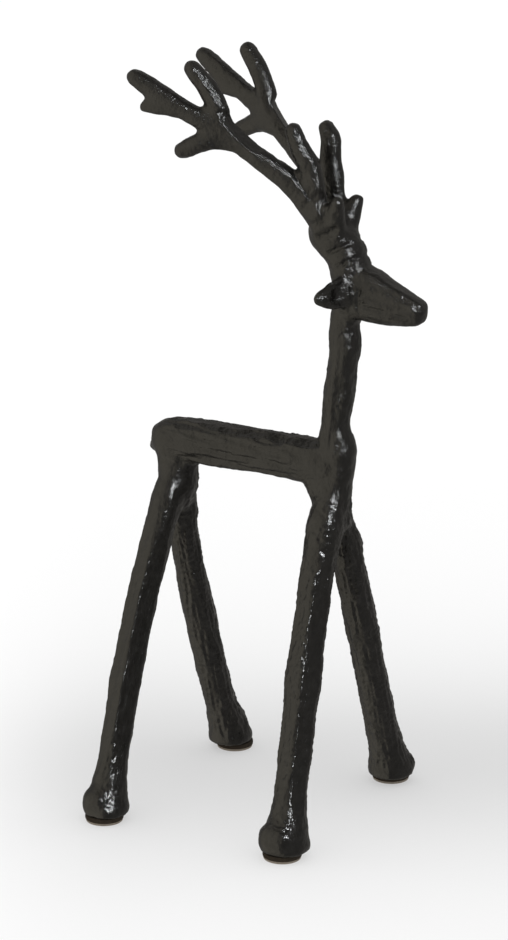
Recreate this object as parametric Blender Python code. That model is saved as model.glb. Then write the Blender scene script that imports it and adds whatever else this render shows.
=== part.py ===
"""A cast iron stag with a bar body, four splayed legs, an upright neck and branched antlers.

It is one casting that stands on four round foot pads. The stag faces +X, its right side is -Y, and the
floor is z = 0 with the origin under the middle of its bounding box. Sizes are in millimetres and are
turned into metres by MM when a shape is placed. Heights are measured from the underside of the felt, which
the pads' backing holds above the floor.
"""

import math

import bmesh
import bpy
import numpy as np
from mathutils import Matrix, Vector

MM = 0.001
RIGHT, LEFT = -1, 1
Y_AXIS = (0.0, 1.0, 0.0)

# Foot pads, and the flat soles of the casting that rest on them.
PAD_DIAMETER = 23.5
FELT_THICKNESS = 3.0
BACKING_THICKNESS = 1.5
PAD_BEVEL = 0.6
PAD_SIDES = 40
PIECE_GAP = 0.3
SOLE_HEIGHT = FELT_THICKNESS + PIECE_GAP
TO_PLACE = Matrix.Scale(MM, 4) @ Matrix.Translation((0.0, 0.0, BACKING_THICKNESS))

# Legs. Each leg's axis runs in a straight line, seen from the front, from the crotch down to its foot.
CROTCH_HEIGHT = 212.0
HIP_Y = 1.0
FOOT_TOP = 46.0
FOOT_WIDEST = 10.0
LEG_RINGS = 32
LEG_START = -0.05
HIP_TAPER, HIP_TAPER_END = 0.55, 0.13
# Rings of a toe from its top down: (share of the toe's offset, height, share of its size).
TOE_RINGS = ((0.0, 42, 0.45), (0.0, 28, 0.7), (0.3, 16, 0.86), (0.95, 10, 1.0), (0.8, 7, 0.8))
LEGS = {
    "rear_right": {
        "side": RIGHT, "hip_x": -70.5, "foot": (-82.2, -72.5), "pad": (-83.0, -72.0),
        "toe": (-2.0, -3.5, 23.0), "bow": -6.3, "bow_peak": 0.9, "shaft": (18.8, 17.8), "knee": (0.62, 0.8),
        "shoulder": 0.8, "foot_size": 25.4,
    },
    "rear_left": {
        "side": LEFT, "hip_x": -75.0, "foot": (-78.6, 74.5), "pad": (-77.2, 74.5),
        "toe": (-1.5, 3.5, 23.0), "bow": -5.5, "bow_peak": 0.9, "shaft": (18.0, 21.2), "knee": (0.66, 0.4),
        "shoulder": 0.6, "foot_size": 26.0,
    },
    "front_right": {
        "side": RIGHT, "hip_x": 40.4, "foot": (40.4, -69.5), "pad": (39.0, -69.0),
        "toe": (-1.4, -3.3, 26.6), "bow": -7.0, "bow_peak": 0.48, "shaft": (20.0, 19.2), "knee": (0.53, 2.2),
        "shoulder": 2.8, "foot_size": 28.2,
    },
    "front_left": {
        "side": LEFT, "hip_x": 31.5, "foot": (36.6, 74.5), "pad": (35.2, 75.0),
        "toe": (5.5, 4.5, 17.0), "bow": 1.5, "bow_peak": 0.65, "shaft": (19.0, 21.2), "knee": (0.46, 1.4),
        "shoulder": -6.0, "foot_size": 26.0,
    },
}

# Trunk. Every station is (x, height, width in the side view, depth across), on the plane of symmetry.
BAR_HEIGHT, BAR_DEPTH = 26.2, 22.0
BAR = (
    (-78.0, 221.8, 0.94 * BAR_HEIGHT, BAR_DEPTH),
    (-60.0, 222.8, BAR_HEIGHT, 1.03 * BAR_DEPTH),
    (-30.0, 222.8, BAR_HEIGHT, BAR_DEPTH),
    (5.0, 223.1, BAR_HEIGHT, BAR_DEPTH),
    (29.0, 221.8, 1.08 * BAR_HEIGHT, BAR_DEPTH),
)
TAIL = (
    (-76.0, 220.0, 22.0, 18.0),
    (-82.0, 219.0, 17.0, 14.0),
    (-89.5, 215.6, 7.0, 9.0),
)
RUMP = (
    (-75.0, 222.0, 24.0, 21.0),
    (-72.4, 199.0, 24.0, 23.0),
    (-73.0, 185.0, 17.0, 24.0),
)
SHOULDERS = (
    (28.0, 222.0, 26.0, 20.0),
    (28.6, 212.0, 26.6, 20.0),
    (31.9, 200.0, 21.0, 22.0),
    (35.4, 188.0, 19.4, 24.0),
)
NECK_DIAMETER = 17.4
CHEST_DEPTH = 20.0
NECK = (
    (34.5, 196.0, 20.4, CHEST_DEPTH),
    (34.7, 216.0, 23.4, CHEST_DEPTH),
    (35.7, 230.0, 25.0, CHEST_DEPTH),
    (35.0, 238.0, 21.8, 0.92 * CHEST_DEPTH),
    (35.0, 247.0, NECK_DIAMETER, NECK_DIAMETER),
    (37.0, 261.0, 1.03 * NECK_DIAMETER, NECK_DIAMETER),
    (39.0, 280.0, NECK_DIAMETER, NECK_DIAMETER),
    (41.1, 294.0, 1.09 * NECK_DIAMETER, NECK_DIAMETER),
    (40.6, 307.0, 0.99 * NECK_DIAMETER, 0.94 * NECK_DIAMETER),
    (43.0, 322.0, NECK_DIAMETER, NECK_DIAMETER),
)

# Head: a long wedge from the nape to a blunt nose, squarer than the round limbs.
HEAD = (
    (44.0, 328.5, 35.0, 20.0),
    (55.0, 327.6, 32.4, 20.0),
    (67.0, 324.2, 27.4, 18.0),
    (82.0, 321.2, 19.6, 15.5),
    (90.5, 320.5, 14.4, 13.0),
)
HEAD_SQUARENESS = 3.4
BAR_SQUARENESS = 2.8
NOSE_REACH = 0.45

# Ears: short cupped leaves that point sideways.
EAR_ROOT = (47.0, 6.0, 330.0)
EAR_TIP = (39.5, 29.5, 328.6)
EAR_HEIGHT, EAR_THICKNESS = 20.0, 7.0
EAR_RINGS = 8
EAR_START, EAR_SWEEP, EAR_THINNING = 0.22, 0.66, 0.35

# Antlers. The splay is the half distance between the two antlers at a place along X, and stations are
# (x, height, width). The lift sets the two apart in height, more towards the tips.
CROWN_HEIGHT = 336.0
CROWN = (
    (45.0, CROWN_HEIGHT, 23.4, 21.4),
    (41.6, 349.6, 23.2, 24.4),
    (30.8, 361.5, 26.4, 23.4),
)
ANTLER_TOP = 460.0
ANTLER_THICKNESS = 10.5
SPLAY_AT = (-90.0, -38.5, 29.5, 45.0)
SPLAY = (41.0, 31.0, 9.0, 5.0)
ANTLER_LIFT = {RIGHT: -0.4, LEFT: 0.9}
TINES = (
    (  # main beam
        (36.5, 356.0, 21.0), (28.6, 371.5, 17.8), (13.8, 390.2, 14.8), (-5.6, 405.0, 13.2),
        (-25.0, 420.5, 14.5), (-44.0, 429.2, 12.0), (-61.0, 438.6, 13.0), (-72.0, 445.4, 11.5),
        (-77.2, 448.4, 9.8),
    ),
    ((-53.0, 430.9, 10.0), (-62.0, 432.0, 10.0), (-70.5, 431.6, 8.0)),  # lower prong of the fork
    ((-24.4, 424.5, 11.0), (-28.4, 434.5, 12.4), (-34.6, 445.8, 12.2), (-42.6, 455.4, 10.2)),  # upper tine
    ((-18.0, 413.5, 12.0), (-30.0, 414.6, 12.4), (-39.0, 411.7, 11.6), (-48.5, 407.0, 10.6)),  # lower tine
)
FRONT_TINE = ((28.0, 374.0, 15.0), (26.0, 390.0, 14.4), (24.0, 401.0, 13.6))
FRONT_TINE_TIP = {RIGHT: (15.0, 422.2), LEFT: (20.2, 418.4)}
FRONT_TINE_SPREAD = 1.15
BROW_TINE = ((38.0, 356.0, 12.0), (40.0, 372.0, 11.0))
BROW_TINE_TIP = {RIGHT: (42.0, 382.0, 8.8), LEFT: (42.0, 379.0, 8.8)}
BROW_TINE_ROOT_Y, BROW_TINE_SLANT = 5.0, 0.28

# Surface of the casting.
RING_SIDES = 20
FLATNESS = 2.35
CAP_STEPS = 4
SPAN_STEPS = 4
VOXEL = 1.8
SMOOTHING_STEPS = 6
SMOOTHING = 0.5
CASTING_TRIANGLES = 7600


def clear_scene():
    for thing in list(bpy.data.objects):
        bpy.data.objects.remove(thing, do_unlink=True)


def material(name, colour, roughness, metallic=0.0):
    """A plain material for one kind of piece."""
    finish = bpy.data.materials.new(name)
    finish.use_nodes = True
    shader = finish.node_tree.nodes["Principled BSDF"]
    shader.inputs["Base Color"].default_value = (*colour, 1.0)
    shader.inputs["Roughness"].default_value = roughness
    shader.inputs["Metallic"].default_value = metallic
    return finish


def place(name, mesh, finish):
    """Turns a bmesh into an object of the scene."""
    data = bpy.data.meshes.new(name)
    mesh.to_mesh(data)
    mesh.free()
    data.materials.append(finish)
    piece = bpy.data.objects.new(name, data)
    bpy.context.scene.collection.objects.link(piece)
    return piece


def smooth_path(stations, steps=SPAN_STEPS):
    """Reads a smooth curve through stations of (x, y, z, width, depth)."""
    knots = np.array(stations, float)
    knots = np.vstack([2 * knots[0] - knots[1], knots, 2 * knots[-1] - knots[-2]])
    path = []
    for before, start, end, after in zip(knots, knots[1:], knots[2:], knots[3:]):
        for step in range(steps):
            t = step / steps
            path.append(
                0.5 * (2 * start + (end - before) * t
                       + (2 * before - 5 * start + 4 * end - after) * t**2
                       + (3 * start - before - 3 * end + after) * t**3)
            )
    return path + [knots[-2]]


def round_ends(path, start_cap, end_cap, reach):
    """Adds shrinking rings past the ends, so that a limb closes in a dome instead of a flat cut."""
    def dome(tip, inner):
        along = Vector(tip[:3] - inner[:3]).normalized()
        rings = []
        for step in range(1, CAP_STEPS + 1):
            angle = math.radians(80.0) * step / CAP_STEPS
            centre = tip[:3] + np.array(along) * math.sin(angle) * reach * tip[3] / 2
            rings.append(np.array([*centre, *(tip[3:] * math.cos(angle))]))
        return rings

    if start_cap:
        path = dome(path[0], path[1])[::-1] + path
    if end_cap:
        path = path + dome(path[-1], path[-2])
    return path


def ring_frame(path, index, across):
    """The matrix that carries a ring of radius one to its place on the path."""
    before, after = path[max(index - 1, 0)], path[min(index + 1, len(path) - 1)]
    along = Vector(after[:3] - before[:3]).normalized()
    depth_axis = (Vector(across) - along * along.dot(Vector(across))).normalized()
    width_axis = along.cross(depth_axis)
    centre, width, depth = Vector(path[index][:3]), path[index][3], path[index][4]
    turn = Matrix((width_axis, depth_axis, along)).transposed().to_4x4()
    size = Matrix.Diagonal((width / 2, depth / 2, 1.0, 1.0))
    return Matrix.Translation(centre) @ turn @ size


def flatten_circle(verts, flatness):
    """Turns a circle into a softly squared ring."""
    for vert in verts:
        for axis in (0, 1):
            value = vert.co[axis]
            vert.co[axis] = math.copysign(abs(value) ** (2 / flatness), value)


def limb(mesh, path, across=Y_AXIS, flatness=FLATNESS, start_cap=True, end_cap=True, reach=1.0):
    """Extrudes a ring along a path of (x, y, z, width, depth). Width lies in the path's own plane."""
    path = round_ends(list(path), start_cap, end_cap, reach)
    ring = bmesh.ops.create_circle(mesh, segments=RING_SIDES, radius=1.0)["verts"]
    flatten_circle(ring, flatness)
    edges = list({edge for vert in ring for edge in vert.link_edges})
    first = ring_frame(path, 0, across)
    bmesh.ops.transform(mesh, matrix=first, verts=ring)
    bmesh.ops.edgeloop_fill(mesh, edges=edges)
    last = first
    for index in range(1, len(path)):
        frame = ring_frame(path, index, across)
        grown = bmesh.ops.extrude_edge_only(mesh, edges=edges)["geom"]
        verts = [item for item in grown if isinstance(item, bmesh.types.BMVert)]
        edges = [item for item in grown if isinstance(item, bmesh.types.BMEdge)]
        bmesh.ops.transform(mesh, matrix=frame @ last.inverted(), verts=verts)
        last = frame
    bmesh.ops.edgeloop_fill(mesh, edges=edges)


def bump(t, centre, spread):
    """A smooth swell of height one."""
    return math.exp(-(((t - centre) / spread) ** 2))


def leg_centre(leg, height):
    """The place of the leg's axis at a height: straight from the front, bowed from the side."""
    foot_x, foot_y = leg["foot"]
    t = 1 - height / CROTCH_HEIGHT
    bow = leg["bow"] * math.sin(math.pi * max(t, 0.0) ** leg["bow_peak"])
    x = leg["hip_x"] + (foot_x - leg["hip_x"]) * t + bow
    y = leg["side"] * HIP_Y + (foot_y - leg["side"] * HIP_Y) * t
    return x, y, height


def leg_path(leg):
    """Rings down one leg: a bowed shaft with a shoulder, a knee and a foot that flares and tucks in."""
    top, bottom = leg["shaft"]
    knee_at, knee_swell = leg["knee"]
    path = []
    for ring in range(LEG_RINGS + 1):
        t = LEG_START + (1 - LEG_START) * ring / LEG_RINGS
        height = CROTCH_HEIGHT * (1 - t)
        size = top + (bottom - top) * t
        size *= 1 - HIP_TAPER * max(0.0, (HIP_TAPER_END - t) / (HIP_TAPER_END - LEG_START)) ** 1.6
        size += leg["shoulder"] * bump(t, 0.11, 0.06)
        size += knee_swell * bump(t, knee_at, 0.045)
        flare = max(0.0, min(1.0, (FOOT_TOP - height) / (FOOT_TOP - FOOT_WIDEST)))
        size += (leg["foot_size"] - bottom) * flare**2.6
        if height < FOOT_WIDEST:
            size -= (leg["foot_size"] - PAD_DIAMETER) * ((FOOT_WIDEST - height) / FOOT_WIDEST) ** 1.8
        path.append(np.array([*leg_centre(leg, height), size, size]))
    return path


def add_legs(mesh):
    """Four legs, each with a toe that swells its foot to one side and fades into the shaft above."""
    for leg in LEGS.values():
        limb(mesh, leg_path(leg), end_cap=False, reach=0.6)
        toe_x, toe_y, toe_size = leg["toe"]
        toe = []
        for out, height, swell in TOE_RINGS:
            x, y, z = leg_centre(leg, height)
            toe.append((x + toe_x * out, y + toe_y * out, z, toe_size * swell, toe_size * swell))
        limb(mesh, smooth_path(toe))


def in_plane(stations):
    """Gives (x, height, width, depth) stations their place on the plane of symmetry."""
    return smooth_path([(x, 0, z, width, depth) for x, z, width, depth in stations])


def add_trunk(mesh):
    """The bar, its slanted rump with a stub of a tail, the shoulders and the upright neck."""
    limb(mesh, in_plane(BAR), flatness=BAR_SQUARENESS)
    for stations in (TAIL, RUMP, SHOULDERS, NECK):
        limb(mesh, in_plane(stations))


def add_head(mesh):
    """A wedge whose flat top slopes down to a blunt nose."""
    limb(mesh, in_plane(HEAD), flatness=HEAD_SQUARENESS, start_cap=False, reach=NOSE_REACH)


def add_ears(mesh):
    for side in (RIGHT, LEFT):
        root, tip = np.array(EAR_ROOT), np.array(EAR_TIP)
        root[1], tip[1] = root[1] * side, tip[1] * side
        path = []
        for ring in range(EAR_RINGS + 1):
            t = ring / EAR_RINGS
            leaf = math.sin(math.pi * (EAR_START + EAR_SWEEP * t))
            centre = root + (tip - root) * t
            path.append(np.array([*centre, EAR_HEIGHT * leaf, EAR_THICKNESS * (1 - EAR_THINNING * t)]))
        limb(mesh, path, across=(1, 0, 0))


def splayed(points, side, spread=1.0):
    """Gives antler stations of (x, height, width) their place on the splayed side."""
    stations = []
    for x, z, width in points:
        lift = ANTLER_LIFT[side] * max(0.0, (z - CROWN_HEIGHT) / (ANTLER_TOP - CROWN_HEIGHT))
        y = side * spread * np.interp(x, SPLAY_AT, SPLAY)
        stations.append((x, y, z + lift, width, min(width, ANTLER_THICKNESS)))
    return stations


def add_antlers(mesh):
    """The crown on top of the head, and on each side a forked beam with its tines."""
    limb(mesh, in_plane(CROWN))
    for side in (RIGHT, LEFT):
        for tine in TINES:
            limb(mesh, smooth_path(splayed(tine, side)))
        tip_x, tip_z = FRONT_TINE_TIP[side]
        front = (*FRONT_TINE, (tip_x + 3.8, 411.5, 12.6), (tip_x, tip_z, 9.8))
        limb(mesh, smooth_path(splayed(front, side, FRONT_TINE_SPREAD)))
        brow = [
            (x, side * (BROW_TINE_ROOT_Y + (z - BROW_TINE[0][1]) * BROW_TINE_SLANT), z, width, width)
            for x, z, width in (*BROW_TINE, BROW_TINE_TIP[side])
        ]
        limb(mesh, smooth_path(brow))


def floor_cutter():
    """A block below the soles, which cuts the four feet off flat."""
    mesh = bmesh.new()
    bmesh.ops.create_cube(mesh, size=1.0)
    depth = 40.0
    centre = Vector((0.0, 0.0, SOLE_HEIGHT - depth / 2))
    size = Matrix.Diagonal((400.0, 300.0, depth, 1.0))
    bmesh.ops.transform(mesh, matrix=TO_PLACE @ Matrix.Translation(centre) @ size, verts=mesh.verts)
    data = bpy.data.meshes.new("floor_cutter")
    mesh.to_mesh(data)
    mesh.free()
    cutter = bpy.data.objects.new("floor_cutter", data)
    bpy.context.scene.collection.objects.link(cutter)
    cutter.hide_render = True
    cutter.display_type = "WIRE"
    return cutter


def make_casting(finish):
    """All limbs grown together in one skin, as one pour of iron."""
    mesh = bmesh.new()
    for add in (add_legs, add_trunk, add_head, add_ears, add_antlers):
        add(mesh)
    bmesh.ops.transform(mesh, matrix=TO_PLACE, verts=mesh.verts)
    bmesh.ops.recalc_face_normals(mesh, faces=mesh.faces)
    casting = place("stag_casting", mesh, finish)
    skin = casting.modifiers.new("skin", "REMESH")
    skin.mode = "VOXEL"
    skin.voxel_size = VOXEL * MM
    soften = casting.modifiers.new("soften", "SMOOTH")
    soften.factor = SMOOTHING
    soften.iterations = SMOOTHING_STEPS
    graph = bpy.context.evaluated_depsgraph_get()
    grown = casting.evaluated_get(graph).to_mesh()
    triangles = sum(len(face.vertices) - 2 for face in grown.polygons)
    casting.evaluated_get(graph).to_mesh_clear()
    lighten = casting.modifiers.new("lighten", "DECIMATE")
    lighten.ratio = CASTING_TRIANGLES / triangles
    soles = casting.modifiers.new("soles", "BOOLEAN")
    soles.operation = "DIFFERENCE"
    soles.object = floor_cutter()
    return casting


def make_pads(finish):
    thickness = FELT_THICKNESS + BACKING_THICKNESS
    for name, leg in LEGS.items():
        mesh = bmesh.new()
        bmesh.ops.create_cone(
            mesh, cap_ends=True, segments=PAD_SIDES, radius1=PAD_DIAMETER / 2, radius2=PAD_DIAMETER / 2,
            depth=thickness,
        )
        rims = [edge for edge in mesh.edges if abs(edge.verts[0].co.z - edge.verts[1].co.z) < 1e-6]
        bmesh.ops.bevel(
            mesh, geom=rims, offset=PAD_BEVEL, segments=2, profile=0.5, affect="EDGES", material=-1,
        )
        bmesh.ops.translate(mesh, vec=(*leg["pad"], thickness / 2 - BACKING_THICKNESS), verts=mesh.verts)
        bmesh.ops.transform(mesh, matrix=TO_PLACE, verts=mesh.verts)
        pad = place(f"foot_pad_{name}", mesh, finish)
        pad.data.shade_smooth()
        pad.data.set_sharp_from_angle(angle=math.radians(40))


def main():
    clear_scene()
    make_casting(material("black_cast_iron", (0.012, 0.011, 0.010), 0.25))
    make_pads(material("dark_felt", (0.02, 0.015, 0.012), 0.95))


main()
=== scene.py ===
"""Looks of a black cast iron stag: one hand-worked casting on four felt foot pads, in a plain studio."""

import itertools
import math

import bmesh
import bpy
import numpy as np
from bpy.props import FloatProperty, FloatVectorProperty, IntProperty, PointerProperty
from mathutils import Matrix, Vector


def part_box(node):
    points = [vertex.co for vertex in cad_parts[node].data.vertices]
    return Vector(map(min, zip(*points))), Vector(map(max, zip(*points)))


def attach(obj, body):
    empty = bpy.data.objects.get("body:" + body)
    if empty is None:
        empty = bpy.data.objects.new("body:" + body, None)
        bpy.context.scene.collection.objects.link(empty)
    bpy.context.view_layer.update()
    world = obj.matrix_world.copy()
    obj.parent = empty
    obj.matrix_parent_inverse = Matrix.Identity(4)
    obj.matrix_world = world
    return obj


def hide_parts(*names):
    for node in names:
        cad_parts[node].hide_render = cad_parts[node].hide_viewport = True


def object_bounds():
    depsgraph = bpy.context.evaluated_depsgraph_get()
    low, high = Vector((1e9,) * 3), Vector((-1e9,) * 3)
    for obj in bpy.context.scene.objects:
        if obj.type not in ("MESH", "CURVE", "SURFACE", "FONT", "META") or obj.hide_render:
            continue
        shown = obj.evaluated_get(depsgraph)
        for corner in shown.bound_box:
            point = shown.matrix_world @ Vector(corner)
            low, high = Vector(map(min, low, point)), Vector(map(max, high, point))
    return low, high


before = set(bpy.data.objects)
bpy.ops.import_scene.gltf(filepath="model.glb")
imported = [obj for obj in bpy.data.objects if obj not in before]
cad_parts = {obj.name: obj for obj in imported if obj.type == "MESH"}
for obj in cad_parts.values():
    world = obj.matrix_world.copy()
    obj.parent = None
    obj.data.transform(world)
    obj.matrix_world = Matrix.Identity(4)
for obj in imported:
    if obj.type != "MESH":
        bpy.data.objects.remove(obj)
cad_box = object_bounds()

bl_info = {
    "name": "Cast Iron Stag",
    "version": (1, 0, 0),
    "blender": (4, 5, 0),
    "location": "3D View > Sidebar > Stag",
    "description": "Builds the surface of a cast iron stag, its foot pads and a plain studio",
    "category": "Object",
}

MM = 0.001
ROOT = "root"
CASTING = "stag_casting"
RIGHT, LEFT = -1, 1
BOTH = (RIGHT, LEFT)

# Each leg by the pad under it, where it ends: its name, its side, where it leaves the body, and how deep its
# drawn lines and its lumps are, in millimetres.
LEGS = {
    "foot_pad_rear_right": ("rear_leg", RIGHT, (-70, -8, 195), (0.22, 0.14)),
    "foot_pad_rear_left": ("rear_leg", LEFT, (-75, 8, 195), (0.74, 0.34)),
    "foot_pad_front_right": ("front_leg", RIGHT, (38, -8, 195), (0.28, 0.36)),
    "foot_pad_front_left": ("front_leg", LEFT, (32, 8, 195), (0.74, 0.34)),
}
LEG_HALF_WIDTH, LEG_PLACES = 9.5, 5

# Roughly where the middle of each other limb runs, from its root to its tip: (distance along the stag,
# distance from its middle plane, height), and half its thickness. The solid then centres each place.
LIMBS = {
    "bar": (((-70, 0, 222), (-40, 0, 222), (-5, 0, 222), (25, 0, 222)), 13),
    "chest": (((35, 0, 240), (35, 0, 220), (35, 0, 205)), 12),
    "neck": (((35, 0, 245), (40, 0, 280), (42, 0, 315)), 9),
    "head": (((50, 0, 328), (70, 0, 324), (90, 0, 320)), 10),
    "crown": (((45, 0, 338), (40, 0, 350), (32, 0, 362)), 12),
    "beam": (((28, 10, 372), (-5, 20, 405), (-40, 30, 428), (-75, 38, 447)), 7),
    "upper_tine": (((-25, 27, 427), (-30, 30, 440), (-42, 32, 455)), 6),
    "lower_tine": (((-22, 27, 414), (-48, 33, 407)), 6),
    "front_tine": (((28, 10, 376), (25, 12, 400), (17, 14, 420)), 7),
    "brow_tine": (((40, 7, 366), (42, 11, 380)), 5),
    "ear": (((46, 10, 330), (40, 27, 329)), 8),
}

# The camera and the strobe, by azimuth from +Y towards +X and elevation, in degrees, and distance in metres.
CAMERA_AT = (150.0, 16.7, 2.09)
STROBE_AT = (131.0, 25.0, 1.8)
STROBE_AIM = (0.0, 0.0, 0.25)
STROBE_SIZE, STROBE_POWER, STROBE_TINT = 0.28, 26.0, (0.95, 0.98, 1.0)
# How far the camera aims to the right of the middle of the stag's box, and above it.
FRAMING = (-0.0173, -0.0165)

# What the glossy finish mirrors: dim surroundings, and a pale wall to the stag's right, which is full from
# the second to the third azimuth. From low to high, each band fades in between two elevations, and has its
# brightness in (surroundings, wall).
WALL_EDGES = (160.0, 194.0, 232.0, 285.0)
BANDS = (((-80, -66), (0.29, 0.52)), ((-60, -40), (0.24, 0.94)), ((20, 44), (0.36, 0.78)))
DIM_TINT, WALL_TINT = (1.0, 0.96, 0.90), (1.0, 0.93, 0.77)
FLOOR_SEEN = (0.42, 0.40, 0.34, 1.0)
CEILING_SEEN, CEILING_FADE = (0.15, 0.14, 0.12, 1.0), (58, 74)

# The floor's shade is a broad band that halves at its half width. Its ends fade out between two distances.
SHADE_AT, SHADE_TURN = (0.0, 0.09, 0.0), 30.0
SHADE_HALF_WIDTH, SHADE_FALL = 0.155, 2.2
SHADE_MIDDLE, SHADE_ENDS = 0.015, (0.31, 0.145)

# The pale backing of the felt pads lifts the rest. Marks and soles are measured above it, in millimetres.
BACKING = 1.5
LIFT = np.array((0.0, 0.0, BACKING))
SOLE = 3.3
ANKLE = 0.14

# The number of slopes in the noise, and what brings its hills and hollows close to -1 and 1.
SLOPES, NOISE_GAIN = 512, 1.7
CURVE_STEPS, LINE_PLACES = 6, 7
MARK_WAVE = 2.6
# A limb's skin lies within this many half widths of its axis. Its facets follow its width, slice by slice.
LIMB_REACH, SLICES, FACET_FADE = 1.7, 24, 0.08
# A flat is only cut where the skin already leans towards it, by this cosine.
FLAT_LIMIT = 0.5


def unit(way):
    way = np.array(way, float)
    return way / np.linalg.norm(way)


def bell(distance, width):
    """One at the middle, zero from the given distance on."""
    return np.clip(1 - (distance / width) ** 2, 0, 1) ** 2


def ramp(value, low, high):
    """A smooth rise from zero to one."""
    t = np.clip((value - low) / (high - low), 0, 1)
    return t * t * (3 - 2 * t)


def soft_noise(points, seed):
    """Random hills and hollows, one unit wide, between about -1 and 1: a grid's slopes, blended."""
    random = np.random.default_rng(seed)
    slopes = random.normal(size=(SLOPES, 3))
    slopes /= np.linalg.norm(slopes, axis=1)[:, None]
    order = random.permutation(SLOPES)
    cell = np.floor(points).astype(int)
    inner = points - cell
    fade = inner**3 * (inner * (inner * 6 - 15) + 10)
    total = np.zeros(len(points))
    for corner in itertools.product((0, 1), repeat=3):
        key = np.zeros(len(points), int)
        for axis in range(3):
            key = order[(key + cell[:, axis] + corner[axis]) % SLOPES]
        weight = np.where(corner, fade, 1 - fade).prod(axis=1)
        total += weight * ((inner - corner) * slopes[key]).sum(axis=1)
    return NOISE_GAIN * total


def squeezed(points, along, share):
    """Points drawn together along a direction, so that what is worked out from them gets longer."""
    line = unit(along)
    return points - np.outer(points @ line, line) * share


def curve_through(places):
    """A smooth curve through a few places."""
    knots = np.array(places, float)
    if len(knots) < 3:
        return knots
    knots = np.vstack([2 * knots[0] - knots[1], knots, 2 * knots[-1] - knots[-2]])
    path = []
    for before, start, end, after in zip(knots, knots[1:], knots[2:], knots[3:]):
        for step in range(CURVE_STEPS):
            t = step / CURVE_STEPS
            path.append(
                0.5 * (2 * start + (end - before) * t
                       + (2 * before - 5 * start + 4 * end - after) * t**2
                       + (3 * start - before - 3 * end + after) * t**3)
            )
    return np.array(path + [knots[-2]])


def direction(azimuth, elevation):
    """A unit vector, from degrees: azimuth from +Y towards +X, and elevation."""
    a, e = math.radians(azimuth), math.radians(elevation)
    return np.array((math.sin(a) * math.cos(e), math.cos(a) * math.cos(e), math.sin(e)))


def bearing(way):
    """The azimuth and the elevation of a direction, in degrees."""
    way = unit(way)
    return math.degrees(math.atan2(way[0], way[1])), math.degrees(math.asin(way[2]))


def standing(aim, azimuth, elevation, distance):
    """The place at a distance from an aim."""
    return np.array(aim, float) + direction(azimuth, elevation) * distance


def camera_place():
    """Where the camera stands: it looks past the middle of the stag's box."""
    middle = np.array(cad_box).mean(axis=0)
    right = direction(CAMERA_AT[0] - 90, 0)
    up = direction(CAMERA_AT[0], CAMERA_AT[1] + 90)
    return standing(middle + right * FRAMING[0] + up * FRAMING[1], *CAMERA_AT)


def glint(place):
    """The way that a flat spot faces to mirror the strobe to the camera."""
    spot = (np.array(place) + LIFT) * MM
    return bearing(unit(standing(STROBE_AIM, *STROBE_AT) - spot) + unit(camera_place() - spot))


def mirrored(facing, side):
    """A facing of the right side as it is on the given side."""
    return tuple(facing) if side == RIGHT else (180 - facing[0], facing[1])


def on_side(places, side):
    """Places that are given for the left, as they are on the given side."""
    return np.array(places, float) * (1, side, 1)


def read(items, name, size=3, kind=float):
    """One value of many mesh elements as an array, with a row for each."""
    flat = np.empty(len(items) * size, kind)
    items.foreach_get(name, flat)
    return flat.reshape(-1, size)


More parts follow.
